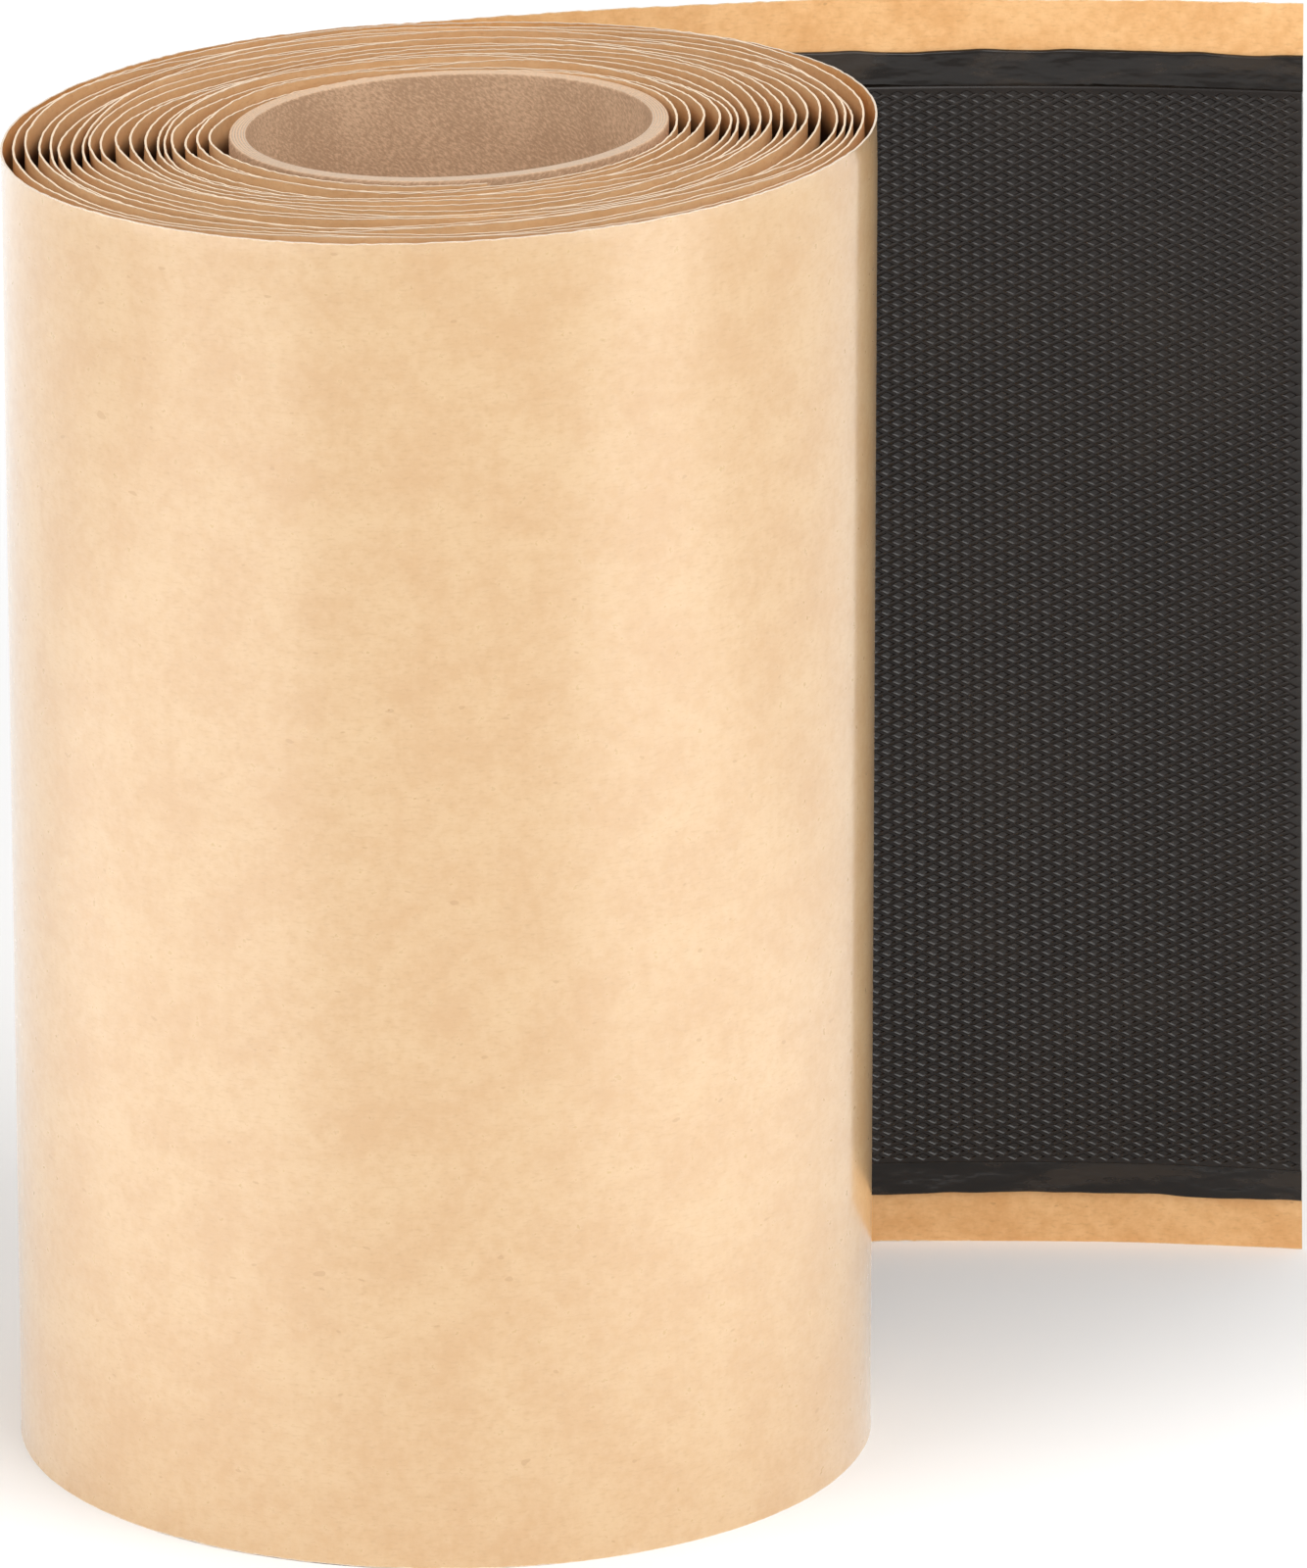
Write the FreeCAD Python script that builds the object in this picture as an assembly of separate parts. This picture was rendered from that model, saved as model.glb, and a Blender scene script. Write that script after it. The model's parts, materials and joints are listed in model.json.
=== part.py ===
"""Roll of self-adhesive EPDM sealing tape on a paperboard core, standing on one end.

The origin is on the core's axis, at the level of the floor. +Z is up, and the
face that is seen first looks along -Y. The tape leaves the roll at the back, at
+Y, and its free end runs towards +X. Lengths are in millimetres.

The strip has three layers. Going in from the outside of each turn they are the
kraft release liner, the butyl adhesive and the EPDM membrane. The liner is the
widest, so its edges stand proud of the tape at both ends of the roll.
"""

import FreeCAD
import Part
import math
import os

# Core: a three-inch paperboard tube
CORE_BORE_RADIUS = 38.5
CORE_WALL = 3.25

# Strip: the width and the thickness of each layer
LINER_WIDTH = 260.0
ADHESIVE_WIDTH = 239.0
MEMBRANE_WIDTH = 225.0
LINER_THICKNESS = 0.25
ADHESIVE_THICKNESS = 0.85
MEMBRANE_THICKNESS = 1.10

# Winding: turns that cross the left side, where there is one more than on the right,
# and how far the turns' centre lies off the core's, because they are wound looser there
TURNS_ON_LEFT = 19
SLACK_ON_LEFT = 1.7
SLACK_IN_FRONT = 2.0

# Ends: the depth of the groove that shows between one turn's liner and the next
GROOVE_DEPTH = 3.0

# Free end: it lifts a little off the roll, then curls forward as it was wound
TAIL_LIFT_ANGLE = 6.5
TAIL_LIFT_RADIUS = 200.0
TAIL_CURL_ANGLE = 28.5
TAIL_CURL_RADIUS = 335.0

# Worked out from the sizes above: the core is cut to the liner's width
CORE_LENGTH = LINER_WIDTH
PITCH = LINER_THICKNESS + ADHESIVE_THICKNESS + MEMBRANE_THICKNESS
CORE_RADIUS = CORE_BORE_RADIUS + CORE_WALL
ROLL_RADIUS = CORE_RADIUS + TURNS_ON_LEFT * PITCH
STRIP_MIDDLE = LINER_WIDTH / 2

# In plan: the middle of the turns, and the point where the free end steps off them
TURNS_X = -SLACK_ON_LEFT
TURNS_Y = -SLACK_IN_FRONT
CENTRE_SHIFT = PITCH / 4
BACK_OF_ROLL = TURNS_Y + CENTRE_SHIFT + ROLL_RADIUS

UP = FreeCAD.Vector(0, 0, 1)


def core_tube():
    """The paperboard tube: one turned wall, cut square at both ends."""
    corners = [
        FreeCAD.Vector(CORE_BORE_RADIUS, 0, 0),
        FreeCAD.Vector(CORE_RADIUS, 0, 0),
        FreeCAD.Vector(CORE_RADIUS, 0, CORE_LENGTH),
        FreeCAD.Vector(CORE_BORE_RADIUS, 0, CORE_LENGTH),
    ]
    section = Part.Face(Part.makePolygon(corners + corners[:1]))
    return section.revolve(FreeCAD.Vector(), UP, 360)


def end_profile(edge_radii):
    """Radius and height above the strip's middle along one end, from the core out.

    The liner's edge is the ridge of each turn, and a groove lies halfway between
    it and the liner of the turn within.
    """
    ridge = LINER_WIDTH / 2
    foot = ridge - GROOVE_DEPTH
    points = [(CORE_BORE_RADIUS, foot)]
    for radius in sorted(edge_radii):
        points += [(radius - PITCH / 2, foot), (radius, ridge)]
    return points


def half_of_turns(edge_radii, centre_y, turn):
    """Half of the winding: its section swept half a turn about its own centre."""
    top = end_profile(edge_radii)
    outline = top + [(radius, -height) for radius, height in reversed(top)]
    centre = FreeCAD.Vector(TURNS_X, centre_y, STRIP_MIDDLE)
    corners = [centre + FreeCAD.Vector(0, radius, height) for radius, height in outline]
    section = Part.Face(Part.makePolygon(corners + corners[:1]))
    return section.revolve(centre, UP, turn)


def wound_turns():
    """All the turns as one solid with its bore, wound as a two-centre spiral.

    The left halves are centred a quarter of the pitch behind the turns' middle and
    the right halves as far in front of it, so each half turn runs on into the next
    and is half a pitch smaller. The strip steps off the roll at the back.
    """
    left_radii = [ROLL_RADIUS - turn * PITCH for turn in range(TURNS_ON_LEFT)]
    right_radii = [radius - PITCH / 2 for radius in left_radii[:-1]]
    left = half_of_turns(left_radii, TURNS_Y + CENTRE_SHIFT, 180)
    right = half_of_turns(right_radii, TURNS_Y - CENTRE_SHIFT, -180)
    core_space = Part.makeCylinder(CORE_RADIUS, LINER_WIDTH, FreeCAD.Vector(), UP)
    return left.fuse(right).removeSplitter().cut(core_space)


def tail_path(depth):
    """The free end's route in plan, as two arcs, at a depth under the liner's face.

    It leaves the back of the roll along the last turn, lifts away from it and
    then curls forward. Headings are angles from +X.
    """
    lifted = math.radians(TAIL_LIFT_ANGLE)
    curled = math.radians(TAIL_LIFT_ANGLE - TAIL_CURL_ANGLE)
    lift = (0.0, lifted, TAIL_LIFT_RADIUS)
    curl = (lifted, curled, -TAIL_CURL_RADIUS)
    corner = FreeCAD.Vector(TURNS_X, BACK_OF_ROLL, 0)
    edges = []
    for start, end, radius in (lift, curl):
        centre = corner + radius * FreeCAD.Vector(-math.sin(start), math.cos(start), 0)

        def on_arc(heading, reach):
            away = FreeCAD.Vector(math.sin(heading), -math.cos(heading), 0)
            return centre + reach * away

        headings = (start, (start + end) / 2, end)
        points = [on_arc(heading, radius + depth) for heading in headings]
        edges.append(Part.Arc(*points).toShape())
        corner = on_arc(end, radius)
    return edges


def tail_layer(outer_depth, thickness, width):
    """One layer of the free end, from the step at the roll's back to the cut."""
    outer = tail_path(outer_depth)
    inner = tail_path(outer_depth + thickness)
    at_roll = Part.makeLine(outer[0].Vertexes[0].Point, inner[0].Vertexes[0].Point)
    at_cut = Part.makeLine(outer[-1].Vertexes[-1].Point, inner[-1].Vertexes[-1].Point)
    section = Part.Face(Part.Wire(Part.__sortEdges__(outer + inner + [at_roll, at_cut])))
    section.translate(FreeCAD.Vector(0, 0, STRIP_MIDDLE - width / 2))
    return section.extrude(UP * width)


def tail_liner():
    """The free end's release liner, on the side away from the view."""
    return tail_layer(0, LINER_THICKNESS, LINER_WIDTH)


def tail_adhesive():
    """The free end's adhesive, between the liner and the membrane."""
    return tail_layer(LINER_THICKNESS, ADHESIVE_THICKNESS, ADHESIVE_WIDTH)


def tail_membrane():
    """The free end's membrane, on the side that faces the view."""
    depth = LINER_THICKNESS + ADHESIVE_THICKNESS
    return tail_layer(depth, MEMBRANE_THICKNESS, MEMBRANE_WIDTH)


PIECES = {
    "core_tube": core_tube,
    "wound_turns": wound_turns,
    "tail_liner": tail_liner,
    "tail_adhesive": tail_adhesive,
    "tail_membrane": tail_membrane,
}

os.makedirs("parts", exist_ok=True)
for name, make in PIECES.items():
    shape = make()
    if len(shape.Solids) == 1:
        shape = shape.Solids[0]
    shape.exportStep(f"parts/{name}.step")
    box = shape.BoundBox
    print(
        f"{name}: solids {len(shape.Solids)}, valid {shape.isValid()},",
        f"volume {shape.Volume / 1000:.1f} cm3,",
        f"x {box.XMin:.2f} to {box.XMax:.2f}, y {box.YMin:.2f} to {box.YMax:.2f},",
        f"z {box.ZMin:.2f} to {box.ZMax:.2f}",
    )
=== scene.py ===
"""Roll of EPDM sealing tape on a paperboard core, standing on end in a plain studio.

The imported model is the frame. The strip is wound on the core, and going in from the
outside of each turn its layers are the kraft release liner, the butyl adhesive and the
embossed membrane. Lengths are in metres and +Z is up. The free end leaves the back of
the roll, at +Y, and runs towards +X. A place on the strip is given by its turn, counted
from the back of the roll inwards, or by the distance along the free end.
"""
import json
import logging
import math
from dataclasses import dataclass
from enum import Enum

import bpy
import numpy as np
from mathutils import Matrix, Vector


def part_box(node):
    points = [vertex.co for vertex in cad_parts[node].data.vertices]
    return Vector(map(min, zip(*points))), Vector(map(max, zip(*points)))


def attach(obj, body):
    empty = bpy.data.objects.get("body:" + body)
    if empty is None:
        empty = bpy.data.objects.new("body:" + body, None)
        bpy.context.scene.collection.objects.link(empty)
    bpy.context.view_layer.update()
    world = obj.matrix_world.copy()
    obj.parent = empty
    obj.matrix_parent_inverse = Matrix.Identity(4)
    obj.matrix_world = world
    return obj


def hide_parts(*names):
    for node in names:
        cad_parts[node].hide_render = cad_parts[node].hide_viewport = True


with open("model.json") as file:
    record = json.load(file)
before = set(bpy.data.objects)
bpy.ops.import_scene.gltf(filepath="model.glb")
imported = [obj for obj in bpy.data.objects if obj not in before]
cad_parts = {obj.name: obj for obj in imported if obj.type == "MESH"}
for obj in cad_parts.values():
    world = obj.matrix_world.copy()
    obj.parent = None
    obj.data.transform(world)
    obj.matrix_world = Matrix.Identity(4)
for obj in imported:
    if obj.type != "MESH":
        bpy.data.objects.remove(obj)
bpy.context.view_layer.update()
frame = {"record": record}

MM = 0.001
FULL_TURN = 2 * math.pi
BACK = math.pi / 2
BODY = "root"
SHARP_FROM = math.radians(40)
LOG = logging.getLogger("tape_roll")

Array = np.ndarray
Colour = tuple[float, float, float]


class Slot(Enum):
    """The record's material slots."""

    CORE = "paperboard_core"
    LINER = "kraft_liner"
    ADHESIVE = "butyl_adhesive"
    MEMBRANE = "epdm_membrane"


class End(Enum):
    """Which end of the roll a row of the strip is near, as the sign of its height."""

    TOP = 1
    BOTTOM = -1


class Value:
    """A shader socket. An expression on it adds the Math nodes that work it out."""

    def __init__(self, graph: "Graph", socket: bpy.types.NodeSocket) -> None:
        """Wraps one output socket of a graph.

        Args:
            graph: the node graph that the socket is in.
            socket: the output socket.
        """
        self.graph = graph
        self.socket = socket

    def __add__(self, other: "Value | float") -> "Value":
        """The sum of two values."""
        return self.graph.math("ADD", self, other)

    __radd__ = __add__

    def __sub__(self, other: "Value | float") -> "Value":
        """This value less the other."""
        return self.graph.math("SUBTRACT", self, other)

    def __rsub__(self, other: float) -> "Value":
        """A number less this value."""
        return self.graph.math("SUBTRACT", other, self)

    def __mul__(self, other: "Value | float") -> "Value":
        """The product of two values."""
        return self.graph.math("MULTIPLY", self, other)

    __rmul__ = __mul__

    def __truediv__(self, other: "Value | float") -> "Value":
        """This value over the other."""
        return self.graph.math("DIVIDE", self, other)

    def __pow__(self, other: float) -> "Value":
        """This value to a power."""
        return self.graph.math("POWER", self, other)

    def least(self, other: "Value | float") -> "Value":
        """The smaller of two values."""
        return self.graph.math("MINIMUM", self, other)

    def step(self, start: float, end: float) -> "Value":
        """A smooth step.

        Args:
            start: where it is 0.
            end: where it is 1, which is below start for a fall.

        Returns:
            The step's value.
        """
        low, high = sorted((start, end))
        rise = {"interpolation_type": "SMOOTHSTEP"}
        stepped = self.graph.node(
            "ShaderNodeMapRange", rise, {"Value": self, "From Min": low, "From Max": high}
        )
        return stepped if start < end else 1.0 - stepped


class Graph:
    """The node graph of one material, with its Principled shader."""

    def __init__(self, name: str) -> None:
        """Starts a material that holds only its shader and output.

        Args:
            name: the material's name.
        """
        self.material = bpy.data.materials.new(name)
        self.material.use_nodes = True
        self.tree = self.material.node_tree
        self.shader = self.tree.nodes["Principled BSDF"]

    def node(
        self,
        kind: str,
        settings: dict[str, object] | None = None,
        inputs: dict[str | int, object] | None = None,
        output: str | int = 0,
    ) -> Value:
        """Adds one node.

        Args:
            kind: the node's type.
            settings: its properties, set first.
            inputs: the value or link of each socket, by name or number.
            output: the output socket to return.

        Returns:
            The node's output.
        """
        made = self.tree.nodes.new(kind)
        for name, value in (settings or {}).items():
            setattr(made, name, value)
        for key, value in (inputs or {}).items():
            self._feed(made.inputs[key], value)
        return Value(self, made.outputs[output])

    def _feed(self, socket: bpy.types.NodeSocket, value: object) -> None:
        """Links a value to a socket, or sets the socket to a number or colour."""
        if isinstance(value, Value):
            self.tree.links.new(value.socket, socket)
        else:
            socket.default_value = value

    def math(self, operation: str, first: object, second: object) -> Value:
        """One Math node on two values or numbers."""
        return self.node("ShaderNodeMath", {"operation": operation}, {0: first, 1: second})

    def mix(self, share: Value | float, first: object, second: object) -> Value:
        """A colour between two.

        Args:
            share: how much of the second there is in it.
            first: the colour at 0.
            second: the colour at 1.

        Returns:
            The colour.
        """
        first, second = (c if isinstance(c, Value) else (*c, 1.0) for c in (first, second))
        colours = {"Factor": share, 6: first, 7: second}
        return self.node("ShaderNodeMix", {"data_type": "RGBA"}, colours, output=2)

    def noise(self, place: Value, size: float, detail: float = 2.0, rough: float = 0.5) -> Value:
        """Soft noise from 0 to 1 whose largest features are size metres across."""
        sockets = {"Vector": place, "Scale": 1.0 / size, "Detail": detail, "Roughness": rough}
        return self.node("ShaderNodeTexNoise", None, sockets)

    def stretched(self, place: Value, scale: Colour) -> Value:
        """A place with each of its directions scaled."""
        return self.node("ShaderNodeMapping", None, {"Vector": place, "Scale": scale})

    def split(self, place: Value) -> tuple[Value, Value, Value]:
        """The three parts of a place or vector."""
        made = self.node("ShaderNodeSeparateXYZ", None, {"Vector": place})
        return tuple(Value(self, part) for part in made.socket.node.outputs)

    def strip_place(self) -> Value:
        """The place on the strip: along it and across it, in metres."""
        return self.node("ShaderNodeTexCoord", output="UV")

    def body_place(self) -> Value:
        """The place in the roll's own frame, in metres."""
        return self.node("ShaderNodeTexCoord", output="Object")

    def dress(self, **sockets: object) -> None:
        """Sets or links the shader's sockets, with underscores for the spaces in names."""
        for name, value in sockets.items():
            self._feed(self.shader.inputs[name.replace("_", " ")], value)

    def relief(self, height: Value, depth: float, after: Value | None = None) -> Value:
        """A bump.

        Args:
            height: its height, from 0 to 1.
            depth: what 1 stands for, in metres.
            after: another bump that this one lies on.

        Returns:
            The normal.
        """
        sockets = {"Height": height, "Distance": depth}
        if after is not None:
            sockets["Normal"] = after
        return self.node("ShaderNodeBump", None, sockets)


@dataclass(frozen=True)
class KraftFinish:
    """Siliconised kraft paper: satin, finely mottled, with pale torn edges, and painted shade that
    darkens it deeper below its edges when its share is set.
    """

    name: str
    pale: Colour
    warm: Colour
    fibre: Colour
    torn: Colour = (0.88, 0.71, 0.53)
    cloud_size: float = 14 * MM
    mottle_size: float = 2.6 * MM
    grain_size: float = 0.6 * MM
    speck_size: float = 2.2 * MM
    mottle_relief: float = 0.035 * MM
    grain_relief: float = 0.008 * MM
    torn_width: float = 0.16 * MM
    torn_size: float = 0.8 * MM
    torn_wander: float = 0.5 * MM
    roughness: float = 0.30
    shine: float = 0.5
    glaze: float = 0.0
    # Painted shade between the turns: a dark colour that the paper is mixed towards, from where it
    # starts below the nearer edge to where it is full, by the share after it.
    shade: Colour = (0.10, 0.042, 0.016)
    painted_shade_starts: float = 1.8 * MM
    painted_shade_ends: float = 7.0 * MM
    painted_shade_share: float = 0.0

    def material(self, width: float) -> bpy.types.Material:
        """Makes the material.

        Args:
            width: the liner's width.

        Returns:
            The material, whose patterns follow the strip.
        """
        g = Graph(self.name)
        place = g.strip_place()
        _, across, _ = g.split(place)
        cloud = g.noise(place, self.cloud_size, 3.0)
        mottle = g.noise(place, self.mottle_size, 5.0, 0.62)
        grain = g.noise(g.stretched(place, (0.35, 1.0, 1.0)), self.grain_size, 3.0, 0.6)
        tone = (cloud * 0.5 + mottle * 0.5).step(0.34, 0.66)
        colour = g.mix(tone, self.pale, self.warm)
        colour = g.mix(grain.step(0.48, 0.78) * 0.45, colour, self.fibre)
        speck = g.noise(g.stretched(place, (0.5, 1.0, 1.0)), self.speck_size, 1.0)
        colour = g.mix(speck.step(0.75, 0.77) * 0.6, colour, self.fibre)
        from_edge = across.least(width - across)
        ragged = (g.noise(place, self.torn_size, 3.0, 0.7) - 0.5) * self.torn_wander
        torn = (from_edge - ragged).step(1.5 * self.torn_width, 0.3 * self.torn_width)
        # Painted shade: the colour darkens deeper below the nearer edge, standing in for the shadow
        # between the turns of the roll.
        depth = from_edge.step(self.painted_shade_starts, self.painted_shade_ends)
        colour = g.mix(depth * self.painted_shade_share, colour, self.shade)
        colour = g.mix(torn * 0.9, colour, self.torn)
        bump = g.relief(grain, self.grain_relief, g.relief(mottle, self.mottle_relief))
        rough = self.roughness + (mottle - 0.5) * 0.16 + torn * 0.4
        g.dress(Base_Color=colour, Roughness=rough, Normal=bump)
        g.dress(Specular_IOR_Level=self.shine)
        g.dress(Coat_Weight=self.glaze, Coat_Roughness=0.14, Coat_IOR=1.75)
        return g.material


@dataclass(frozen=True)
class LinerFinish:
    """The liner's two faces."""

    outside: KraftFinish
    inside: KraftFinish

    def dress(self, piece: bpy.types.Object, rows: int, width: float) -> None:
        """Gives a swept liner its two materials.

        Args:
            piece: the liner, whose rings hold the outside's rows and then the inside's.
            rows: the number of rows on each face.
            width: the liner's width.
        """
        for finish in (self.outside, self.inside):
            made = bpy.data.materials.get(finish.name) or finish.material(width)
            piece.data.materials.append(made)
        face = np.arange(len(piece.data.polygons))
        on_cap = face >= len(face) - 2
        inside = (face % (2 * rows) >= rows) & ~on_cap
        piece.data.polygons.foreach_set("material_index", inside.astype(np.int32))


OUTER_LINER = LinerFinish(
    outside=KraftFinish(
        "glazed_kraft",
        (0.75, 0.49, 0.235),
        (0.68, 0.40, 0.165),
        (0.56, 0.30, 0.11),
        shine=1.0,
        glaze=1.0,
    ),
    inside=KraftFinish(
        "bare_kraft",
        (0.93, 0.56, 0.25),
        (0.80, 0.42, 0.155),
        (0.62, 0.30, 0.10),
        roughness=0.40,
    ),
)
# The turns under the outermost one: paler copies of the kraft finishes, painted light for the light
# on the turns' ends, with painted shade deeper between the turns.
INNER_LINER = LinerFinish(
    outside=KraftFinish(
        "glazed_kraft_between_turns_painted_light_and_shade",
        (0.92, 0.62, 0.34),
        (0.86, 0.54, 0.27),
        (0.66, 0.36, 0.16),
        painted_shade_share=0.95,
    ),
    inside=KraftFinish(
        "bare_kraft_between_turns_painted_light_and_shade",
        (0.92, 0.60, 0.32),
        (0.86, 0.52, 0.25),
        (0.66, 0.35, 0.15),
        roughness=0.40,
        painted_shade_share=0.95,
    ),
)


@dataclass(frozen=True)
class BoardFinish:
    """Spirally wound paperboard: matt grey-brown with short fibres, greyer on its ends."""

    face: Colour = (0.52, 0.33, 0.20)
    light: Colour = (0.74, 0.50, 0.32)
    end: Colour = (0.55, 0.45, 0.355)
    fibre_size: float = 0.55 * MM
    fibre_relief: float = 0.10 * MM
    fibre_slope: float = 0.7
    cloud_size: float = 14 * MM
    ply: float = 0.55 * MM
    roughness: float = 0.85

    def material(self) -> bpy.types.Material:
        """Makes the material.

        Returns:
            The material, in the roll's own frame. Its fibres lean along the tube, and
            the rings on its ends are a sine of the radius.
        """
        g = Graph("paperboard")
        place = g.body_place()
        x, y, z = g.split(place)
        radius = (x * x + y * y) ** 0.5
        round_bore = g.math("ARCTAN2", x, y) * radius
        lean = self.fibre_slope
        turned = {"X": z + lean * round_bore, "Y": (round_bore - lean * z) * 0.4, "Z": radius}
        fibre = g.noise(g.node("ShaderNodeCombineXYZ", None, turned), self.fibre_size, 5.0, 0.65)
        cloud = g.noise(place, self.cloud_size, 3.0)
        colour = g.mix((fibre * 0.75 + cloud * 0.25).step(0.42, 0.62), self.face, self.light)
        plies = g.math("SINE", radius * (FULL_TURN / self.ply), 0.0)
        end_colour = g.mix((plies * 0.25 + fibre).step(0.25, 0.8), self.end, self.light)
        _, _, upward = g.split(g.node("ShaderNodeNewGeometry", output="Normal"))
        on_end = (upward * upward).step(0.55, 0.85)
        colour = g.mix(on_end * 0.85, colour, end_colour)
        bump = g.relief(fibre, self.fibre_relief)
        g.dress(Base_Color=colour, Roughness=self.roughness, Normal=bump)
        return g.material


@dataclass(frozen=True)
class ButylFinish:
    """Tacky black butyl: glossy, with smudges and slow ripples."""

    colour: Colour = (0.007, 0.0040, 0.0020)
    smudged: Colour = (0.026, 0.0175, 0.0110)
    gloss: float = 0.12
    smudge: float = 0.36
    smudge_size: float = 9 * MM
    ripple_size: float = 7 * MM
    ripple_relief: float = 1.1 * MM

    def material(self) -> bpy.types.Material:
        """Makes the material.

        Returns:
            The material, whose patterns follow the strip.
        """
        g = Graph("butyl")
        place = g.strip_place()
        streaks = g.noise(g.stretched(place, (0.3, 1.0, 1.0)), self.smudge_size, 4.0, 0.6)
        smudges = streaks.step(0.48, 0.60)
        ripple = g.noise(g.stretched(place, (0.4, 1.0, 1.0)), self.ripple_size, 3.0)
        bump = g.relief(ripple, self.ripple_relief)
        colour = g.mix(smudges, self.colour, self.smudged)
        rough = self.gloss + smudges * (self.smudge - self.gloss)
        g.dress(Base_Color=colour, Roughness=rough, Normal=bump, Specular_IOR_Level=0.4)
        return g.material


@dataclass(frozen=True)
class RubberFinish:
    """Black EPDM: satin, faintly brown, with a fine pebbled skin."""

    colour: Colour = (0.0075, 0.0038, 0.0018)
    worn: Colour = (0.0120, 0.0070, 0.0040)
    roughness: float = 0.26
    cloud_size: float = 30 * MM
    pebble_size: float = 0.5 * MM
    pebble_relief: float = 0.015 * MM

    def material(self) -> bpy.types.Material:
        """Makes the material.

        Returns:
            The material, whose patterns follow the strip.
        """
        g = Graph("epdm")
        place = g.strip_place()
        cloud = g.noise(place, self.cloud_size, 4.0, 0.6)
        pebble = g.noise(place, self.pebble_size, 2.0)
        colour = g.mix(cloud.step(0.4, 0.7), self.colour, self.worn)
        rough = self.roughness + (cloud - 0.5) * 0.15
        bump = g.relief(pebble, self.pebble_relief)
        g.dress(Base_Color=colour, Roughness=rough, Normal=bump, Specular_IOR_Level=0.42)
        return g.material


def smooth_share(value: Array, start: float, end: float) -> Array:
    """The smooth step 3t² - 2t³, where t runs from 0 at start to 1 at end."""
    t = np.clip((value - start) / (end - start), 0.0, 1.0)
    return t * t * (3.0 - 2.0 * t)


def broken_line(place: Array, spacing: float, seed: int) -> Array:
    """Random values joined by straight lines.

    Args:
        place: where the line is read, in metres.
        spacing: about how far apart its values are.
        seed: the seed of its random draws.

    Returns:
        The line there, from -1 to 1.
    """
    draws = np.random.default_rng(seed)
    low, high = float(place.min()), float(place.max())
    count = int((high - low) / spacing) + 3
    uneven = draws.uniform(-0.35, 0.35, count) * spacing
    knots = low - spacing + np.arange(count) * (high - low + 2 * spacing) / (count - 1) + uneven
    return np.interp(place, knots, draws.uniform(-1.0, 1.0, count))


def slow_wave(place: Array, length: float, seed: int) -> Array:
    """Three sines of unlike length, summed.

    Args:
        place: where the wave is read, in metres.
        length: the longest sine's length.
        seed: the seed of its random phases.

    Returns:
        The wave there, from -1 to 1.
    """
    draws = np.random.default_rng(seed)
    total = np.zeros_like(place)
    for share, shorter in ((0.5, 1.0), (0.3, 0.61), (0.2, 0.37)):
        phase = draws.uniform(0, FULL_TURN)
        total += share * np.sin(FULL_TURN * place / (length * shorter) + phase)
    return total


def place_mesh(
    name: str, points: Array, groups: list[Array], strip: Array | None = None
) -> bpy.types.Object:
    """Puts points and faces into a new object at the origin, smooth but for sharp edges.

    Args:
        name: the piece's name.
        points: the vertices, one row each.
        groups: arrays of faces with like numbers of corners, one face to a row.
        strip: each vertex's place along and across the strip, for the UV map.

    Returns:
        The object, linked to the scene.
    """
    corners = np.concatenate([group.ravel() for group in groups]).astype(np.int32)
    sizes = np.concatenate([np.full(len(group), group.shape[1]) for group in groups])
    starts = np.concatenate([[0], np.cumsum(sizes)[:-1]]).astype(np.int32)
    mesh = bpy.data.meshes.new(name)
    mesh.vertices.add(len(points))
    mesh.vertices.foreach_set("co", points.astype(np.float32).ravel())
    mesh.loops.add(len(corners))
    mesh.loops.foreach_set("vertex_index", corners)
    mesh.polygons.add(len(starts))
    mesh.polygons.foreach_set("loop_start", starts)
    mesh.polygons.foreach_set("use_smooth", np.ones(len(starts), bool))
    mesh.update(calc_edges=True)
    if strip is not None:
        layer = mesh.uv_layers.new(name="strip")
        layer.data.foreach_set("uv", strip[corners].astype(np.float32).ravel())
    mesh.validate()
    mesh.set_sharp_from_angle(angle=SHARP_FROM)
    piece = bpy.data.objects.new(name, mesh)
    bpy.context.scene.collection.objects.link(piece)
    return piece


def there_and_back(outer: Array, inner: Array) -> Array:
    """Rings that each run along an outer row of points and back along an inner one."""
    return np.concatenate([outer, inner[:, ::-1]], axis=1)


def swept(
    name: str, rings: Array, strip: Array | None = None, closed: bool = False
) -> bpy.types.Object:
    """A solid whose skin joins each ring of points to the next.

    Args:
        name: the piece's name.
        rings: the points, as ring by corner by coordinate; a ring turns clockwise as
            seen from the ring before it, so that the skin faces out.
        strip: the place on the strip of each point, as ring by corner by direction.
        closed: whether the last ring joins the first; otherwise both ends get a cap.

    Returns:
        The object.
    """
    count, corners = rings.shape[:2]
    index = np.arange(count * corners).reshape(count, corners)
    here = index if closed else index[:-1]
    there = np.roll(index, -1, axis=0) if closed else index[1:]
    next_here, next_there = (np.roll(side, -1, axis=1) for side in (here, there))
    groups = [np.stack([here, there, next_there, next_here], axis=-1).reshape(-1, 4)]
    if not closed:
        groups += [index[:1], index[-1:, ::-1]]
    flat = None if strip is None else strip.reshape(-1, 2)
    return place_mesh(name, rings.reshape(-1, 3), groups, flat)


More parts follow.
